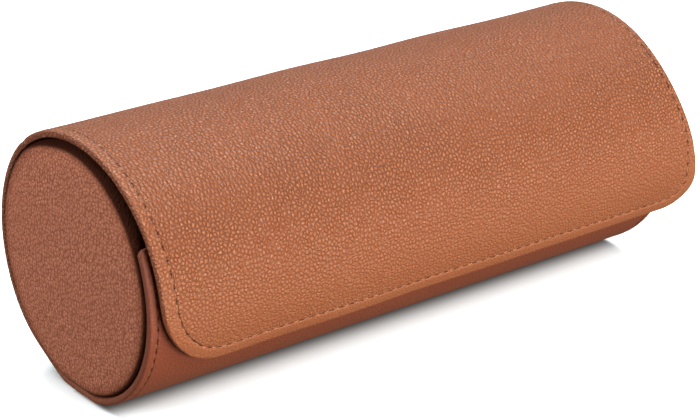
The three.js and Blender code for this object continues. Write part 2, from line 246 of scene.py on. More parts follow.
class Layer:
    """A stretch of the leather or the lining, with two side edges and perhaps a free edge.

    s runs from the cut beside the hinge to the free edge, so v is start + way * s. left and right give the
    side edges' x at s, and seam the stitches' distance from an edge at s, on the left (-1) or the right (1).
    The shown face is at depth face, and the leather's edges turn from there to depth back.
    """

    def __init__(
        self, start, way, length, left, right, seam, face, back, corners=(0.0, 0.0), free=True, turned=True
    ):
        self.start = start
        self.way = way
        self.length = length
        self.left = left
        self.right = right
        self.seam = seam
        self.face = face
        self.back = back
        self.corners = corners
        self.free = free
        self.turned = turned
        self.inwards = 1 if back > face else -1
        self.edge = abs(back - face) / 2 if turned else 0.0

    def place(self, x, s, under):
        """Points under the shown face, or over it where under is negative."""
        return on_wrap(x, self.start + self.way * s, self.face + self.inwards * under)

    def relief(self, from_seam, seam):
        """How far the shown face stands up, by the distance in from the seam."""
        share = np.clip((from_seam + seam - self.edge) / (seam - self.edge), 0, 1)
        puff = HEM_PUFF * np.sin(np.pi * share) ** 2
        sink = SEAM_SINK * np.exp(-((from_seam / SEAM_SPREAD) ** 2))
        return (puff - sink) * smoothstep(share, 0, 0.5) * (1 if self.turned else 0.6)

    def layout(self, step):
        """The grid's rows, and its columns as steps in from a side: to the seam, and on from there."""
        self.inner = max(*self.corners, HEM_MARGIN) + 1 * MM
        to_seam = np.concatenate([[0, 0.25, 0.5, 0.72, 0.84, 0.92], np.ones(14)])
        past_seam = np.concatenate([np.zeros(6), [0], np.geomspace(0.015, 1, 13)])
        middle = np.linspace(0, 1, int((self.right(0) - self.left(0) - 2 * self.inner) / step) + 1)[1:-1]
        self.steps = np.stack([to_seam, past_seam])
        self.middle = middle
        end = self.length - self.inner if self.free else self.length
        start = np.array([0, 0.25, 0.7, 1.4]) * MM
        if self.free:
            rows = np.concatenate([start, np.linspace(start[-1], end, int(end / step) + 1)[1:-1]])
            tip = self.insets(self.length, -1)
            self.rows = np.concatenate([rows, self.length - tip[::-1]])
            self.from_tip = np.concatenate([np.full(len(rows), np.inf), tip[::-1]])
        else:
            between = np.linspace(start[-1], end - start[-1], 8)[1:-1]
            self.rows = np.concatenate([start, between, end - start[::-1]])
            self.from_tip = np.full(len(self.rows), np.inf)

    def insets(self, s, side):
        """Distances in from a side edge of the columns nearest to it."""
        seam = self.seam(s, side)
        return self.edge + (seam - self.edge) * self.steps[0] + (self.inner - seam) * self.steps[1]

    def spread(self):
        """Each point's x and s, its distance from the edge, the way outwards and its place along the seam."""
        s = self.rows[:, None]
        left, right = self.left(s), self.right(s)
        left_inset, right_inset = self.insets(s, -1), self.insets(s, 1)[:, ::-1]
        ends = left_inset.shape[1]
        width = right - left - 2 * self.inner
        middle = left + self.inner + self.middle * width
        x = np.concatenate([left + left_inset, middle, right - right_inset], axis=1)
        none = np.full((len(self.rows), len(self.middle)), np.inf)
        side = np.concatenate([left_inset, none, right_inset], axis=1)
        s, tip = s + 0 * x, self.from_tip[:, None] + 0 * x
        left, right = left + 0 * x, right + 0 * x
        outwards = np.where(np.arange(x.shape[1]) < ends, -1.0, 1.0) + 0 * x
        at_tip = tip < side
        out = np.stack([np.where(at_tip, 0.0, outwards), np.where(at_tip, 1.0, 0.0)], axis=-1)
        corner = np.where(outwards < 0, *self.corners)
        straight = self.length - corner
        bend = corner - self.seam(self.length, 0)
        total = self.seam_total()
        along = s
        across = np.where(outwards < 0, x - left, right - x)
        along = np.where(at_tip, straight + bend * np.pi / 2 + across - corner, along)
        if max(self.corners):
            a = np.clip(1 - side / corner, 0, 1)
            b = np.clip(1 - tip / corner, 0, 1)
            across, down = round_square(a, b)
            inside = (a > 0) & (b > 0)
            turn = np.arctan2(down, across)
            edge_x = np.where(outwards < 0, left, right)
            x = np.where(inside, edge_x - outwards * corner * (1 - across), x)
            s = np.where(inside, straight + corner * down, s)
            rounded = np.stack([outwards * np.cos(turn), np.sin(turn)], axis=-1)
            out = np.where(inside[..., None], rounded, out)
            along = np.where(inside, straight + bend * turn, along)
        along = np.where(outwards < 0, along, total - along)
        return x, s, np.minimum(side, tip), out, along

    def seam_total(self):
        """Length of the seam: down one side, across the free edge and up the other."""
        if not self.free:
            return 2 * self.length
        total = self.right(self.length) - self.left(self.length)
        for corner in self.corners:
            bend = corner - self.seam(self.length, 0)
            total += self.length - 2 * corner + bend * np.pi / 2
        return float(total)

    def stitches(self):
        """How many stitches the seam has, an even number."""
        return 2 * round(self.seam_total() / STITCH_PITCH / 2)

    def seam_place(self, along):
        """The place x, s on the seam at a distance along it."""
        total = self.seam_total()
        mirrored = along > total / 2
        p = np.where(mirrored, total - along, along)
        corner = np.where(mirrored, *self.corners[::-1])
        straight = self.length - corner
        bend = np.maximum(corner - self.seam(self.length, 0), 1e-6)
        turn = np.clip((p - straight) / bend, 0, np.pi / 2)
        s = np.minimum(p, straight) + bend * np.sin(turn)
        past = np.maximum(p - straight - bend * np.pi / 2, 0)
        down = self.seam(s, np.where(mirrored, 1, -1))
        inwards = np.where(p < straight, down, corner - bend * np.cos(turn) + past)
        return np.where(mirrored, self.right(s) - inwards, self.left(s) + inwards), s

    def build(self, name, material, step=1.6 * MM):
        """The shown face, and for leather its turned edges and the margin glued down inside."""
        self.layout(step)
        x, s, inset, out, along = self.spread()
        v = self.start + self.way * s
        seam = self.seam(s, np.where(np.arange(s.shape[1]) < s.shape[1] / 2, -1, 1))
        from_seam = np.minimum(inset, 1.0) - seam
        stitch = along * self.stitches() / self.seam_total()
        rows, columns = x.shape
        index = np.arange(rows * columns).reshape(rows, columns)
        parts = {
            "points": [self.place(x, s, -self.relief(from_seam, seam)).reshape(-1, 3)],
            "hide": [pairs(x, v)],
            "hem": [pairs(stitch, from_seam)],
            "rim": [pairs(self.edge - np.minimum(inset, 1.0), s)],
            "faces": [grid_faces(index)],
        }
        if self.turned:
            self.add_margin(parts, index, x, s, v, inset, out, stitch, seam)
            self.add_turns(parts, index, x, s, v, out, stitch, seam)
        points, hide, hem, rim, faces = (np.concatenate(part) for part in parts.values())
        if self.way * self.inwards > 0:
            faces = faces[:, ::-1]
        used = np.unique(faces)
        renumber = np.zeros(len(points), np.int64)
        renumber[used] = np.arange(len(used))
        maps = [("hide", hide[used]), ("hem", hem[used]), ("rim", rim[used])]
        obj = make_object(name, points[used], renumber[faces], material, maps)
        thicken(obj, HIDE if self.turned else abs(self.back - self.face))
        return obj

    def add_margin(self, parts, index, x, s, v, inset, out, stitch, seam):
        """Adds the leather that is turned in and glued down along the edges."""
        on_margin = (inset <= HEM_MARGIN).ravel()
        arc = np.where(inset <= HEM_MARGIN, np.pi * self.edge + 2 * (inset - self.edge), 0)
        parts["points"].append(self.place(x, s, 2 * self.edge).reshape(-1, 3))
        parts["hide"].append(pairs(x + out[..., 0] * arc, v + self.way * out[..., 1] * arc))
        parts["hem"].append(pairs(stitch, self.edge - arc - seam))
        parts["rim"].append(pairs(arc, s))
        inner = grid_faces(index)[:, ::-1]
        parts["faces"].append(inner[on_margin[inner].all(axis=1)] + index.size)

    def add_turns(self, parts, index, x, s, v, out, stitch, seam):
        """Adds the turn of the edges, from the shown face round to the margin."""
        lines = [index[:, 0], index[::-1, -1]]
        if self.free:
            lines = [np.concatenate([index[:, 0], index[-1, 1:-1], index[::-1, -1]])]
        count = 2 * index.size
        for line in lines:
            rings = [line]
            rim_x, rim_s, rim_v, rim_stitch, rim_seam = (a.ravel()[line] for a in (x, s, v, stitch, seam))
            out_x, out_s = out.reshape(-1, 2)[line].T
            for turn in np.linspace(0, np.pi, 13)[1:-1]:
                reach = self.edge * np.sin(turn) ** EDGE_SQUARE
                under = self.edge - self.edge * np.sign(np.cos(turn)) * np.abs(np.cos(turn)) ** EDGE_SQUARE
                arc = self.edge * turn
                parts["points"].append(self.place(rim_x + out_x * reach, rim_s + out_s * reach, under))
                parts["hide"].append(pairs(rim_x + out_x * arc, rim_v + self.way * out_s * arc))
                parts["hem"].append(pairs(rim_stitch, self.edge - arc - rim_seam))
                parts["rim"].append(pairs(arc + 0 * rim_s, rim_s))
                rings.append(count + np.arange(len(line)))
                count += len(line)
            rings.append(line + index.size)
            parts["faces"].append(grid_faces(np.array(rings)))


def make_threads(name, lines, material, radius=THREAD_RADIUS):
    """Stitches as one mesh. lines holds the points of each stitch's bowed middle line."""
    lines = np.asarray(lines)
    count, steps, _ = lines.shape
    sides = 6
    around = np.arange(sides) / sides * 2 * np.pi
    along = np.gradient(lines, axis=1)
    along /= np.linalg.norm(along, axis=-1, keepdims=True)
    chord = lines[:, -1] - lines[:, 0]
    bow = lines[:, steps // 2] - (lines[:, 0] + lines[:, -1]) / 2
    across = np.cross(chord, bow)
    across /= np.linalg.norm(across, axis=-1, keepdims=True)
    across = np.repeat(across[:, None], steps, axis=1)
    up = np.cross(along, across)
    taper = np.sin(np.linspace(0.15, np.pi - 0.15, steps)) ** 0.35
    ring = np.cos(around)[:, None] * across[:, :, None] + np.sin(around)[:, None] * up[:, :, None]
    points = lines[:, :, None] + radius * taper[None, :, None, None] * ring
    index = np.arange(count * steps * sides).reshape(count, steps, sides)
    looped = np.concatenate([index, index[:, :, :1]], axis=2)
    faces = []
    for k in range(count):
        faces.extend(grid_faces(looped[k]))
        faces.append(index[k, 0])
        faces.append(index[k, -1, ::-1])
    length = np.linspace(0, 1, steps)[None, :, None] * np.linalg.norm(chord, axis=-1)[:, None, None]
    length = np.broadcast_to(length, (count, steps, sides))
    turn = np.broadcast_to(around * radius, (count, steps, sides))
    return make_object(name, points.reshape(-1, 3), faces, material, [("thread", pairs(length, turn))])


def sew(name, layer, material, depth=None, first=0.0, last=1.0):
    """The stitches along a layer's seam, between two shares of its length.

    They lie on the shown face, or else on the inside, whose depth at s is depth(s).
    """
    total = layer.seam_total()
    pitch = total / layer.stitches()
    middles = (np.arange(layer.stitches()) + 0.5) * pitch
    middles = middles[(middles > total * first) & (middles < total * last)]
    reach = np.linspace(-0.5, 0.5, 7)
    arch = 1 - np.abs(2 * reach) ** 2.5
    x, s = layer.seam_place(middles[:, None] + reach * pitch * STITCH_SHARE)
    drawn_in = SIDE_SINK + (TIP_SINK - SIDE_SINK) * smoothstep(s / layer.length, 0.4, 0.88)
    sunk = SEAM_SINK * 0.9 + THREAD_RADIUS * (1.2 * (1 - arch) - 0.55 * arch) + drawn_in
    lines = layer.place(x, s, sunk)
    if depth is not None:
        v = layer.start + layer.way * s
        lines = on_wrap(x, v, depth(s) - (sunk - SEAM_SINK * 0.4))
    return make_threads(name, lines, material)


def revolve(name, profile, side, foot, material, inside=False):
    """A disc from profiles of [inwards from the case's end, radius], pressed flat at the foot.

    profile(angle) runs from the middle of the shown face. The face looks out of the case, or in if inside.
    """
    angle = np.linspace(0, 2 * np.pi, DISC_SIDES, endpoint=False)
    profiles = np.stack([np.asarray(profile(a)) for a in angle], axis=1)
    share = foot_radius(angle, END_RADIUS, foot) / END_RADIUS
    radius = profiles[:, :, 1] * share
    x = side * (HALF_LENGTH - profiles[:, :, 0])
    middle = [[side * (HALF_LENGTH - profiles[0, 0, 0]), 0, AXIS_Z]]
    points = np.concatenate([middle, on_circle(x, angle, radius).reshape(-1, 3)])
    index = 1 + np.arange(radius.size).reshape(radius.shape)
    looped = np.concatenate([index, index[:, :1]], axis=1)
    fan = np.stack([0 * looped[0, 1:], looped[0, :-1], looped[0, 1:]], axis=-1)
    faces = list(fan) + list(grid_faces(looped))
    if (side > 0) != inside:
        faces = [f[::-1] for f in faces]
    reach = radius + SIDE_SPREAD * np.abs(profiles[:, :, 0] - profiles[0, :, 0])
    hide = np.concatenate([[[0, 0]], pairs(reach * np.cos(angle), reach * np.sin(angle))])
    return make_object(name, points, faces, material, [("hide", hide)])


# -------------------------------- materials


class Look:
    """A material, with short calls for building its nodes."""

    def __init__(self, name, **sockets):
        self.material = bpy.data.materials.new(name)
        self.material.use_nodes = True
        self.tree = self.material.node_tree
        self.surface = self.tree.nodes["Principled BSDF"]
        for socket, value in sockets.items():
            self.surface.inputs[socket.replace("_", " ")].default_value = value

    def node(self, kind, inputs, output=0, **settings):
        node = self.tree.nodes.new(kind)
        for key, value in settings.items():
            setattr(node, key, value)
        for key, value in inputs.items():
            self.feed(node.inputs[key], value)
        return node.outputs[output]

    def feed(self, socket, value):
        if isinstance(value, bpy.types.NodeSocket):
            self.tree.links.new(value, socket)
        else:
            socket.default_value = value

    def map(self, name):
        return self.node("ShaderNodeUVMap", {}, uv_map=name)

    def place(self):
        """Place in the object's own space."""
        return self.node("ShaderNodeTexCoord", {}, output=3)

    def split(self, vector):
        """The first two parts of a vector."""
        node = self.tree.nodes.new("ShaderNodeSeparateXYZ")
        self.feed(node.inputs[0], vector)
        return node.outputs[0], node.outputs[1]

    def math(self, operation, a, b=0.0):
        return self.node("ShaderNodeMath", {0: a, 1: b}, operation=operation)

    def plus(self, a, b):
        return self.math("ADD", a, b)

    def minus(self, a, b):
        return self.math("SUBTRACT", a, b)

    def times(self, a, b):
        return self.math("MULTIPLY", a, b)

    def distance(self, a, b):
        """The long side of a right triangle with sides a and b."""
        return self.math("SQRT", self.plus(self.math("POWER", a, 2.0), self.math("POWER", b, 2.0)))

    def vector(self, operation, a, b):
        return self.node("ShaderNodeVectorMath", {0: a, 1: b}, operation=operation)

    def ease(self, value, low, high, start=0.0, end=1.0):
        """A smooth step from start to end as value goes from low to high."""
        inputs = {"Value": value, "From Min": low, "From Max": high, "To Min": start, "To Max": end}
        return self.node("ShaderNodeMapRange", inputs, interpolation_type="SMOOTHSTEP")

    def noise(self, vector, size, detail=2.0, output=0):
        inputs = {"Vector": vector, "Scale": 1 / size, "Detail": detail}
        return self.node("ShaderNodeTexNoise", inputs, output=output)

    def cells(self, vector, size, feature="DISTANCE_TO_EDGE"):
        inputs = {"Vector": vector, "Scale": 1 / size, "Randomness": 0.9}
        return self.node("ShaderNodeTexVoronoi", inputs, feature=feature, voronoi_dimensions="2D")

    def mix(self, factor, a, b):
        return self.node("ShaderNodeMix", {0: factor, 6: a, 7: b}, output=2, data_type="RGBA")

    def finish(self, color, roughness, height, depth):
        self.feed(self.surface.inputs["Base Color"], color)
        self.feed(self.surface.inputs["Roughness"], roughness)
        bump = self.node("ShaderNodeBump", {"Height": height, "Distance": depth, "Strength": 1.0})
        self.feed(self.surface.inputs["Normal"], bump)
        return self.material


def wobble(look, place, size, amount):
    """Places shifted about, so that a grain's cells aren't straight-sided."""
    shift = look.noise(place, size, output=1)
    shift = look.vector("SUBTRACT", shift, (0.5, 0.5, 0.5))
    shift = look.vector("MULTIPLY", shift, (amount, amount, 0))
    return look.vector("ADD", place, shift)


def pebbles(look, place, size):
    """A grain's domes, the creases between them and the fine grain on them, each from 0 to 1."""
    bent = wobble(look, place, 0.8 * size, 0.5 * size)
    from_crease = look.cells(bent, size)
    top = look.ease(look.cells(bent, size, "F1"), 0.0, 0.6, 1.0, 0.0)
    side = look.ease(from_crease, 0.0, 0.34)
    dome = look.plus(look.times(side, 0.4), look.times(top, 0.6))
    crease = look.ease(from_crease, 0.0, 0.2, 1.0, 0.0)
    small = look.ease(look.cells(place, 0.45 * size, "F1"), 0.05, 0.6, 1.0, 0.0)
    fine = look.times(look.plus(small, look.noise(place, 0.3 * MM)), 0.5)
    return dome, crease, fine


def pebbled_leather():
    """Tan leather with round pebbles, darker where it is sewn, with painted highlights on the pebbles and
    painted shade round the turned edges and on the front wall under the flap.
    """
    look = Look("pebbled_leather", Specular_IOR_Level=0.5, Specular_Tint=(1, 0.84, 0.7, 1))
    place = look.map("hide")
    dome, crease, fine = pebbles(look, place, 1.3 * MM)
    uneven = look.ease(look.noise(place, 3.2 * MM), 0.3, 0.7, 0.5, 1.0)
    patches = look.noise(place, 26 * MM, 3)
    stitch, from_seam = look.split(look.map("hem"))
    round_edge, down = look.split(look.map("rim"))

    # The pebbles are lower between the seam and the edge, on the front wall, where they fade into its painted
    # shade, and towards the free edge.
    between = look.ease(down, FLAP_LENGTH - 30 * MM, FLAP_LENGTH - 6 * MM, 0.8, 0.5)
    in_field = look.ease(from_seam, -1.0 * MM, 1.0 * MM)
    strength = look.plus(look.times(in_field, look.minus(1.0, between)), between)
    round_case = look.split(place)[1]
    # Painted shade: how far a place lies in the flap's shadow on the front wall, which is painted darker and
    # redder there.
    painted_flap_shade = look.ease(round_case, FRONT_WALL - 30 * MM, FRONT_WALL + 70 * MM, 0.0, 0.85)
    strength = look.times(strength, look.minus(1.0, look.times(painted_flap_shade, 0.6)))
    # Painted highlight: across the flap's upper band, where the light glances, the pebbles stand higher and
    # are painted with lighter tops and darker creases, standing in for glints; towards the free edge both
    # fade.
    strength = look.times(strength, look.ease(down, 0.45 * FLAP_LENGTH, FLAP_LENGTH, 1.3, 0.42))
    pebble = look.times(look.times(dome, uneven), strength)
    crease = look.times(crease, strength)
    grain = look.plus(pebble, look.times(fine, 0.4))
    grain = look.minus(grain, look.times(crease, 0.2))

    # Needle holes between the stitches, and the thread's groove
    turn = look.minus(look.math("FRACT", look.plus(stitch, 0.5)), 0.5)
    beside = look.times(turn, STITCH_PITCH)
    hole = look.ease(look.distance(beside, from_seam), 0.12 * MM, 0.36 * MM, 1.0, 0.0)
    groove = look.ease(look.math("ABSOLUTE", from_seam), 0.06 * MM, 0.32 * MM, 1.0, 0.0)
    height = look.minus(grain, look.times(hole, 1.2))

    # The pebble tops are painted lighter and the creases darker: partly the grain's own colour, partly
    # painted highlight and shade.
    lit = look.plus(grain, look.times(look.minus(1.0, strength), 0.5))
    color = look.mix(look.ease(lit, -0.1, 1.2), (0.15, 0.038, 0.0122, 1), (0.355, 0.114, 0.042, 1))
    color = look.mix(look.times(crease, 0.22), color, (0.13, 0.03, 0.01, 1))
    color = look.mix(look.ease(patches, 0.35, 0.7, 0.0, 0.3), color, (0.25, 0.069, 0.024, 1))

    # Painted shade: the front wall, in the flap's shadow, is painted a deeper, darker red.
    color = look.mix(painted_flap_shade, color, (0.16, 0.029, 0.012, 1))
    # Painted shade on the turned edges, which face away from the light, and more of it on the front wall
    # under the flap.
    turned = look.ease(round_edge, 0.2 * MM, 1.1 * MM, 0.0, 0.6)
    turned = look.times(turned, look.plus(0.6, look.times(painted_flap_shade, 0.9)))
    color = look.mix(turned, color, (0.14, 0.03, 0.013, 1))
    color = look.mix(look.times(groove, 0.92), color, (0.06, 0.014, 0.005, 1))
    color = look.mix(look.times(hole, 0.5), color, (0.06, 0.016, 0.006, 1))
    roughness = look.ease(look.plus(grain, patches), 0.4, 1.6, 0.58, 0.32)
    return look.finish(color, roughness, height, 0.4 * MM)


def end_leather():
    """Browner pebbled leather with fine upright streaks, with painted shade that darkens its rim and turns
    nearly black where it goes in under the wrap.
    """
    look = Look("end_leather", Specular_IOR_Level=0.15, Specular_Tint=(1, 0.62, 0.42, 1))
    place = look.map("hide")
    dome, crease, fine = pebbles(look, place, 1.5 * MM)
    upright = look.vector("MULTIPLY", place, (1.0, 0.33, 1.0))
    streaks = look.ease(look.noise(upright, 1.0 * MM), 0.38, 0.62)
    uneven = look.ease(look.noise(place, 3 * MM), 0.3, 0.7, 0.5, 1.0)
    patches = look.noise(place, 18 * MM, 3)
    grain = look.times(look.times(dome, uneven), 0.9)
    grain = look.plus(grain, look.times(fine, 0.2))
    grain = look.plus(grain, look.times(streaks, 0.4))
    height = look.minus(grain, look.times(crease, 0.15))
    color = look.mix(look.ease(height, 0.0, 1.1), (0.24, 0.076, 0.041, 1), (0.475, 0.178, 0.107, 1))
    color = look.mix(look.ease(patches, 0.35, 0.7, 0.0, 0.25), color, (0.33, 0.11, 0.058, 1))
    out = look.node("ShaderNodeVectorMath", {0: place}, output=1, operation="LENGTH")
    # Painted shade: the face darkens towards its rounded rim, which the flap and the wrap shade.
    painted_rim_shade = look.ease(out, END_RADIUS - 4 * MM, END_RADIUS + 1.5 * MM, 0.0, 0.5)
    color = look.mix(painted_rim_shade, color, (0.12, 0.024, 0.008, 1))
    # Painted shade: nearly black round the side, where it goes in under the wrap and little light gets in.
    edge = look.ease(out, END_RADIUS - 0.3 * MM, END_RADIUS + 2 * MM, 0.0, 0.97)
    color = look.mix(edge, color, (0.025, 0.004, 0.001, 1))
    roughness = look.ease(look.plus(height, patches), 0.3, 1.6, 0.64, 0.46)
    roughness = look.plus(roughness, look.times(edge, 0.3))
    return look.finish(color, roughness, height, 0.2 * MM)


def suede(name, light, dark):
    """Short soft nap."""
    look = Look(
        name, Sheen_Weight=0.25, Sheen_Roughness=0.5, Sheen_Tint=(0.3, 0.15, 0.08, 1), Specular_IOR_Level=0.1
    )
    place = look.place()
    nap = look.noise(place, 0.45 * MM, 4)
    brushed = look.noise(look.vector("MULTIPLY", place, (1.0, 0.4, 0.4)), 9 * MM, 2)
    color = look.mix(look.ease(nap, 0.3, 0.7), dark, light)
    color = look.mix(look.ease(brushed, 0.4, 0.65, 0.0, 0.35), color, dark)
    return look.finish(color, look.ease(nap, 0.2, 0.8, 0.98, 0.86), nap, 0.08 * MM)


def woven_elastic():
    """Flat elastic, with fine ribs along it and rows of weft across them."""
    look = Look("woven_elastic", Sheen_Weight=0.2, Sheen_Tint=(0.4, 0.25, 0.15, 1), Specular_IOR_Level=0.15)
    across, along = look.split(look.map("weave"))
    rib = look.math("SINE", look.times(across, 2 * math.pi / (1.1 * MM)))
    weft = look.math("SINE", look.times(along, 2 * math.pi / (0.7 * MM)))
    fuzz = look.noise(look.map("weave"), 0.3 * MM, 3)
    height = look.plus(look.plus(rib, look.times(weft, 0.5)), fuzz)
    color = look.mix(look.ease(height, -0.8, 1.8), (0.045, 0.021, 0.012, 1), (0.17, 0.088, 0.052, 1))
    return look.finish(color, look.ease(height, -1.0, 2.0, 0.95, 0.75), height, 0.06 * MM)


def thread(name, light, dark):
    """Twisted polyester thread."""
    look = Look(name, Specular_IOR_Level=0.4, Sheen_Weight=0.15)
    along, around = look.split(look.map("thread"))
    turns = look.times(along, 1 / (0.45 * MM))
    twist = look.plus(turns, look.times(around, 1 / (0.8 * MM)))
    ply = look.math("ABSOLUTE", look.math("SINE", look.times(twist, math.pi)))
    color = look.mix(look.ease(ply, 0.0, 0.7), dark, light)
    return look.finish(color, look.ease(ply, 0.0, 1.0, 0.75, 0.5), ply, 0.06 * MM)


def grey_board():
    """Grey board, pressed from fibres."""
    look = Look("grey_board", Specular_IOR_Level=0.2)
    fibres = look.noise(look.vector("MULTIPLY", look.place(), (0.3, 1.0, 1.0)), 0.8 * MM, 4)
    color = look.mix(look.ease(fibres, 0.3, 0.7), (0.26, 0.235, 0.2, 1), (0.38, 0.35, 0.31, 1))
    return look.finish(color, look.ease(fibres, 0.2, 0.8, 0.95, 0.85), fibres, 0.05 * MM)


def white_foam():
    """Open foam with fine bubbles."""
    look = Look("foam", Specular_IOR_Level=0.1, Subsurface_Weight=0.1)
    inputs = {"Vector": look.place(), "Scale": 1 / (0.6 * MM)}
    bubbles = look.node("ShaderNodeTexVoronoi", inputs, feature="F1")
    color = look.mix(look.ease(bubbles, 0.1, 0.7), (0.5, 0.47, 0.4, 1), (0.72, 0.68, 0.6, 1))
    return look.finish(color, look.ease(bubbles, 0.0, 1.0, 0.98, 0.9), bubbles, 0.15 * MM)


def nickel():
    """Nickel plating with fine scratches."""
    look = Look("nickel", Metallic=1.0)
    marks = look.noise(look.vector("MULTIPLY", look.place(), (1.0, 6.0, 1.0)), 0.9 * MM, 3)
    color = look.mix(look.ease(marks, 0.3, 0.7), (0.48, 0.49, 0.5, 1), (0.6, 0.61, 0.63, 1))
    return look.finish(color, look.ease(marks, 0.2, 0.8, 0.22, 0.38), marks, 0.01 * MM)


# -------------------------------- the pieces


def constant(value):
    """A side edge or a seam distance that is the same all along a layer."""
    return lambda s, side=0: value + 0 * np.asarray(s, float)


def join(piece, body, slot_name, *nodes):
    """Puts a piece on its body and in place of its CAD nodes."""
    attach(piece, body)
    if nodes:
        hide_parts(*nodes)


def join_hinge(piece, slot_name, *nodes):
    """Settles a piece of the hinge strip where it lies, with its modifiers applied, in place of its CAD
    nodes.
    """
    start = on_circle(0, FLAP_ANGLE + HINGE_STRIP / RADIUS, RADIUS - HIDE / 2)
    end = on_circle(0, FLAP_ANGLE, RADIUS - HIDE / 2)
    settle(piece)
    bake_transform(piece)
    if nodes:
        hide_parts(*nodes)


def flap_left(s):
    """The flap's left edge, cut back towards the free edge."""
    return -HALF_LENGTH + FLAP_LEFT_INSET * (np.abs(s) / FLAP_LENGTH) ** 2.5


def flap_right(s):
    """The flap's right edge, which comes to reach past the body's end."""
    return HALF_LENGTH + FLAP_RIGHT_OVERHANG * smoothstep(s / FLAP_LENGTH, 0.3, 0.97) ** 2.2


def flap_seam(s, side):
    """Distance of the flap's stitches from its edge, most along the free edge and least on the right."""
    right = np.asarray(side) > 0
    beside = FLAP_SEAM - np.where(right, RIGHT_SEAM_CLOSER, 0) * smoothstep(s, 0, SEAM_CHANGE)
    tip = 1 - np.asarray(s) / FLAP_LENGTH
    widening = np.where(right, smoothstep(tip, 0.28, 0.1), smoothstep(tip, 0.5, 0.18))
    return beside + (TIP_SEAM - beside) * widening


def body_angle(s):
    """Angle round the case of a place on the body's stretch, from -228 degrees at the hinge to 27."""
    return FLAP_ANGLE + (HINGE_STRIP + s) / RADIUS - 2 * math.pi


def body_left(s):
    """The body's left edge, drawn in a little low on the back."""
    return -HALF_LENGTH + 0.9 * MM * np.exp(-(((body_angle(s) + 117 * DEG) / (16 * DEG)) ** 2))


def body_seam(s, side=0):
    """Distance of the body's stitches from its edge: the flap's beside the hinge, and less further on."""
    return BODY_SEAM + (FLAP_SEAM - BODY_SEAM) * (1 - smoothstep(np.asarray(s, float), 0, SEAM_CHANGE))


def make_wrap(leather, gold, brown):
    """The leather in three stretches, on the body, over the hinge and on the flap, and its stitches."""
    on_face = {"face": 0, "back": WALL}
    ends = {"left": constant(-HALF_LENGTH), "right": constant(HALF_LENGTH)}
    flap = Layer(0, -1, FLAP_LENGTH, flap_left, flap_right, flap_seam, corners=FLAP_CORNERS, **on_face)
    hinge = Layer(0, 1, HINGE_STRIP, seam=constant(FLAP_SEAM), free=False, **ends, **on_face)
    corners = (BODY_CORNER, BODY_CORNER)
    body = Layer(HINGE_STRIP, 1, BODY_LENGTH, body_left, ends["right"], body_seam, corners=corners, **on_face)
    join(flap.build("flap_wrap", leather), "flap", "leather", "flap_leather_cover", "flap_board")
    join(body.build("body_wrap", leather), "body", "leather", "body_leather_cover", "body_board")
    join_hinge(hinge.build("hinge_wrap", leather), "leather", "hinge_leather")
    join(sew("flap_stitches", flap, gold), "flap", "leather")
    join(sew("body_stitches", body, brown), "body", "leather")
    join_hinge(sew("hinge_stitches", hinge, gold), "leather")
    return flap, body


def clear_of_ends(s):
    """0 where the flap lies on the round ends, which keeps its lining narrow, and 1 clear of them."""
    clear = wrap_radius(-np.asarray(s, float)) - WALL - LINING - END_RADIUS - 0.3 * MM
    return smoothstep(clear, 0, 0.5 * MM)


def make_lining(flap, body, cloth, gold):
    """The lining in the same three stretches, and the stitches that come through it."""
    inside = {"face": WALL + LINING, "back": WALL, "turned": False}
    inner = {"left": constant(-HALF_LINING), "right": constant(HALF_LINING)}

    def left(s):
        wide = flap_left(s) + LINING_INSET
        return -HALF_LINING + (wide + HALF_LINING) * clear_of_ends(s)

    def right(s):
        wide = flap_right(s) - LINING_INSET
        return HALF_LINING + (wide - HALF_LINING) * clear_of_ends(s)

    length = FLAP_LENGTH - LINING_INSET
    corners = tuple(corner - LINING_INSET for corner in FLAP_CORNERS)

    def seam(s, side):
        return flap_seam(s, side) - LINING_INSET

    flap_cloth = Layer(0, -1, length, left, right, seam, corners=corners, **inside)
    hinge_seam = constant(FLAP_SEAM - LINING_INSET)
    hinge_cloth = Layer(0, 1, HINGE_STRIP, seam=hinge_seam, free=False, **inner, **inside)
    lip_seam = constant(BODY_SEAM - LINING_INSET)
    body_cloth = Layer(HINGE_STRIP, 1, BODY_LENGTH - LINING_INSET, seam=lip_seam, **inner, **inside)
    step = 2.5 * MM
    join(flap_cloth.build("flap_suede", cloth, step), "flap", "lining", "flap_lining")
    join(body_cloth.build("body_suede", cloth, step), "body", "lining", "body_lining")
    join_hinge(hinge_cloth.build("hinge_suede", cloth, step), "lining", "hinge_lining")

    def flap_depth(s):
        return WALL + LINING * clear_of_ends(s)

    join(sew("flap_inner_stitches", flap, gold, flap_depth), "flap", "lining")
    lip = body.seam_total() / 2 - HALF_LINING + 2 * MM
    share = lip / body.seam_total()
    lip_stitches = sew("lip_inner_stitches", body, gold, constant(WALL + LINING), share, 1 - share)
    join(lip_stitches, "body", "lining")


def end_round(angle):
    """How far the rim of a padded end is rounded off: more where the wrap doesn't press on it."""
    free = smoothstep(angle, LIP_ANGLE - 8 * DEG, LIP_ANGLE + 14 * DEG)
    free = free * (1 - smoothstep(angle, HINGE_ANGLE - 30 * DEG, HINGE_ANGLE + 4 * DEG))
    return END_ROUND + (END_LOOSE_ROUND - END_ROUND) * free


def crowned_face(angle, under):
    """The crowned face and round rim of a padded end, or the same at a distance under it."""
    rounded = end_round(angle)
    flat = END_RADIUS - rounded
    across = np.concatenate([np.linspace(0.03, 0.96, 30), [1.0]])
    face = [[under - END_PROUD - END_CROWN * (1 - a**2.4), flat * a] for a in across]
    for turn in np.linspace(0, np.pi / 2, 9)[1:]:
        reach = rounded - under
        face.append([rounded - END_PROUD - reach * math.cos(turn), flat + reach * math.sin(turn)])
    return face


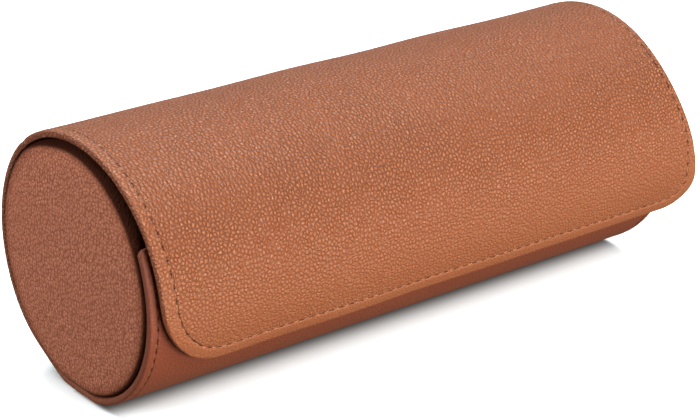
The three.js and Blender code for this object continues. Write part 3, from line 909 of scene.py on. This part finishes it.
def pad_profile(angle):
    """A padded end's section: its crowned face, round rim, skirt and the margin turned in behind."""
    face = crowned_face(angle, 0)
    inner = 0.8 * MM
    flat = END_RADIUS - inner
    skirt = [[END_SKIRT, END_RADIUS], [END_BACK - inner, END_RADIUS]]
    for turn in np.linspace(0, np.pi / 2, 5)[1:]:
        skirt.append([END_BACK - inner + inner * math.sin(turn), flat + inner * math.cos(turn)])
    margin = [[END_BACK, END_RADIUS - END_MARGIN / 2], [END_BACK, END_RADIUS - END_MARGIN]]
    return face + skirt + margin


def foam_profile(angle):
    """The foam under the leather of an end."""
    return crowned_face(angle, END_HIDE) + [[FOAM_BACK, END_RADIUS - END_HIDE], [FOAM_BACK, 1 * MM]]


def suede_profile(angle):
    """The section of the suede on the inside of an end."""
    back = HALF_LENGTH - HALF_LINING - 0.3 * MM
    edge = 0.2 * MM
    face = [[back + 0.25 * MM * (1 - a**3), (END_RADIUS - edge) * a] for a in np.linspace(0.05, 1, 20)]
    return face + [[back - edge, END_RADIUS], [END_BACK + 0.1 * MM, END_RADIUS]]


def make_end(name, side, leather, foam, cloth):
    """A padded round end with its foam, and the suede on the inside of it."""
    disc = revolve(f"{name}_end_pad", pad_profile, side, END_FOOT, leather)
    thicken(disc, END_HIDE * 0.9)
    join(disc, "body", "end_leather", f"{name}_end_leather")
    filling = revolve(f"{name}_end_filling", foam_profile, side, END_FOOT + END_HIDE, foam)
    join(filling, "body", "foam", f"{name}_end_foam")
    lining = revolve(f"{name}_end_suede", suede_profile, side, END_FOOT, cloth, inside=True)
    join(lining, "body", "lining", f"{name}_end_lining")


def band_line():
    """The elastic's middle line as angles and radii, flat where it is sewn and arched between the seams."""
    depth = WALL + LINING + BAND_THICKNESS / 2 + BAND_GAP
    opening = LOOP_PITCH - LOOP_SEAM
    end = BAND_START + LOOPS * LOOP_PITCH
    angles = [np.linspace(BAND_START - BAND_END, BAND_START - LOOP_SEAM / 2, 6)]
    rises = [np.zeros(6)]
    for loop in range(LOOPS):
        across = (1 - np.cos(np.linspace(0, np.pi, 25))) / 2
        angles.append(BAND_START + loop * LOOP_PITCH + LOOP_SEAM / 2 + opening * across)
        rises.append(LOOP_HEIGHT * np.sin(np.pi * across))
        angles.append(np.array([BAND_START + (loop + 1) * LOOP_PITCH]))
        rises.append(np.zeros(1))
    angles.append(np.linspace(end + LOOP_SEAM / 2, end + BAND_END, 6))
    rises.append(np.zeros(6))
    angle = np.concatenate(angles)
    return angle, foot_radius(angle, RADIUS, 0) - depth - np.concatenate(rises)


def make_bars(name, x, dark):
    """The two rows of stitches on each seam of an elastic band."""
    lines = []
    reach = np.linspace(-0.5, 0.5, 7)
    arch = 1 - np.abs(2 * reach) ** 2.5
    depth = WALL + LINING + BAND_THICKNESS + 0.3 * MM * arch - 0.1 * MM
    for seam in range(LOOPS + 1):
        for row in (-BAR_ROW, BAR_ROW):
            angle = BAND_START + seam * LOOP_PITCH + row
            for stitch in range(BAR_STITCHES):
                along = x + (stitch - (BAR_STITCHES - 1) / 2) * BAR_PITCH + reach * BAR_STITCH
                lines.append(on_circle(along, angle, foot_radius(angle, RADIUS, 0) - depth))
    return make_threads(name, lines, dark, BAR_THREAD)


def make_band(name, x, elastic, dark):
    """One looped elastic band and its stitches."""
    angle, radius = band_line()
    across = np.linspace(-BAND_WIDTH / 2, BAND_WIDTH / 2, 15)
    centre = on_circle(x, angle, radius)
    length = np.concatenate([[0], np.cumsum(np.linalg.norm(np.diff(centre, axis=0), axis=1))])
    points = on_circle(x + across[None, :], angle[:, None], radius[:, None])
    weave = pairs(*np.broadcast_arrays(across[None, :], length[:, None]))
    index = np.arange(points.shape[0] * points.shape[1]).reshape(points.shape[:2])
    band = make_object(name, points.reshape(-1, 3), grid_faces(index), elastic, [("weave", weave)])
    thicken(band, BAND_THICKNESS, offset=0)
    bevel = band.modifiers.new("edge", "BEVEL")
    bevel.width = 0.25 * MM
    bevel.segments = 2
    join(band, "body", "elastic", name.replace("looped", "elastic_band"))
    join(make_bars(name + "_bars", x, dark), "body", "elastic")


def paint(material, *nodes):
    """Gives CAD nodes that stay their material."""
    for node in nodes:
        for material_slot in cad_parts[node].material_slots:
            material_slot.material = material


def make_case():
    """Every piece of the case, with its material."""
    gold = thread("gold_thread", (0.42, 0.15, 0.055, 1), (0.16, 0.046, 0.016, 1))
    dark = thread("dark_thread", (0.09, 0.045, 0.028, 1), (0.03, 0.015, 0.01, 1))
    brown = thread("brown_thread", (0.2, 0.07, 0.028, 1), (0.08, 0.024, 0.01, 1))
    flap, body = make_wrap(pebbled_leather(), gold, brown)
    cloth = suede("brown_suede", (0.075, 0.038, 0.022, 1), (0.035, 0.017, 0.01, 1))
    make_lining(flap, body, cloth, gold)
    padded_leather = end_leather()
    foam = white_foam()
    make_end("left", -1, padded_leather, foam, cloth)
    make_end("right", 1, padded_leather, foam, cloth)
    elastic = woven_elastic()
    make_band("looped_left", -BAND_X, elastic, dark)
    make_band("looped_right", BAND_X, elastic, dark)
    paint(grey_board(), "left_end_board", "right_end_board")
    paint(nickel(), "body_magnet_left", "body_magnet_right", "flap_magnet_left", "flap_magnet_right")


# -------------------------------- camera, floor and light


def make_camera():
    """A long lens, from the front left and above."""
    azimuth = -38.14 * DEG
    elevation = 22.43 * DEG
    level = math.cos(elevation)
    back = Vector((math.sin(azimuth) * level, -math.cos(azimuth) * level, math.sin(elevation)))
    data = bpy.data.cameras.new("camera")
    data.lens = 112.58
    data.sensor_width = 36
    data.clip_start = 0.01
    camera = bpy.data.objects.new("camera", data)
    camera.location = (-0.4251, -0.5416, AXIS_Z + 0.2766)
    camera.rotation_euler = (-back).to_track_quat("-Z", "Y").to_euler()
    bpy.context.scene.collection.objects.link(camera)
    bpy.context.scene.camera = camera


def white_floor():
    """Matt white, with a painted shadow beside the foot where little light gets in, and glowing more and more
    further out, which is painted light.
    """
    look = Look("white_floor", Roughness=0.9, Specular_IOR_Level=0.1)
    look.surface.inputs["Emission Color"].default_value = (0.93, 1, 1, 1)
    x, y = look.split(look.place())
    past_side = look.minus(look.math("ABSOLUTE", y), FOOT_WIDTH / 2)
    past_end = look.minus(look.math("ABSOLUTE", x), HALF_LENGTH)
    beside = look.math("MAXIMUM", past_side, 0.0)
    beyond = look.math("MAXIMUM", past_end, 0.0)

    # The painted shadow fades at once behind the middle of the case and from 2 mm short of its ends on.
    open_side = look.math("MAXIMUM", look.math("MAXIMUM", look.plus(past_end, 2 * MM), y), 0.0)
    shade = look.ease(look.distance(beside, look.times(open_side, 5)), 2.5 * MM, 15.5 * MM)
    color = look.mix(shade, (0.06, 0.05, 0.042, 1), (0.92, 0.975, 0.98, 1))
    look.feed(look.surface.inputs["Base Color"], color)

    # Painted light: the floor glows, faintly near the case and more further out.
    away = look.distance(beside, beyond)
    near_glow = look.ease(away, 3 * MM, 28 * MM, 0.02, 0.42)
    far_glow = look.ease(away, 0.3, 2.0, 0.0, 0.6)
    look.feed(look.surface.inputs["Emission Strength"], look.plus(near_glow, far_glow))
    return look.material


def make_floor():
    """A wide floor that throws no light on the case and isn't mirrored in it."""
    mesh = bpy.data.meshes.new("floor")
    half = 4
    corners = [(-half, -half, 0), (half, -half, 0), (half, half, 0), (-half, half, 0)]
    mesh.from_pydata(corners, [], [(0, 1, 2, 3)])
    mesh.materials.append(white_floor())
    floor = bpy.data.objects.new("floor", mesh)
    floor.visible_glossy = False
    floor.visible_diffuse = False
    bpy.context.scene.collection.objects.link(floor)


def make_softbox(name, location, target, size, power):
    """A rectangular light that faces a target."""
    data = bpy.data.lights.new(name, "AREA")
    data.shape = "RECTANGLE"
    data.size, data.size_y = size
    data.energy = power
    light = bpy.data.objects.new(name, data)
    light.location = location
    light.rotation_euler = (Vector(target) - Vector(location)).to_track_quat("-Z", "Y").to_euler()
    bpy.context.scene.collection.objects.link(light)


def make_world(below, above):
    """White surroundings, brighter above the horizon than under it."""
    world = bpy.data.worlds.new("studio")
    world.use_nodes = True
    nodes, links = world.node_tree.nodes, world.node_tree.links
    place = nodes.new("ShaderNodeTexCoord")
    height = nodes.new("ShaderNodeSeparateXYZ")
    links.new(place.outputs["Generated"], height.inputs[0])
    strength = nodes.new("ShaderNodeMapRange")
    for socket, value in (("From Min", -0.15), ("From Max", 0.35), ("To Min", below), ("To Max", above)):
        strength.inputs[socket].default_value = value
    links.new(height.outputs["Z"], strength.inputs["Value"])
    links.new(strength.outputs[0], nodes["Background"].inputs["Strength"])
    nodes["Background"].inputs["Color"].default_value = (1, 1, 1, 1)
    bpy.context.scene.world = world


def make_studio():
    """Camera, floor, surroundings and four softboxes."""
    make_camera()
    make_floor()
    make_world(0.1, 0.13)
    make_softbox("key", (0.33, -1.22, 1.11), (0, 0, 0.05), (1.0, 0.8), 21)
    make_softbox("front", (0.21, -1.48, 0.18), (0, 0, 0.06), (1.2, 0.28), 36)
    make_softbox("top", (0.1, 0.8, 1.3), (0, 0, 0.05), (1.6, 0.9), 40)
    make_softbox("left", (-1.17, 0.4, 0.32), (0, 0, 0.05), (0.6, 0.45), 11.5)
    bpy.context.scene.view_settings.view_transform = "Standard"


make_case()
make_studio()
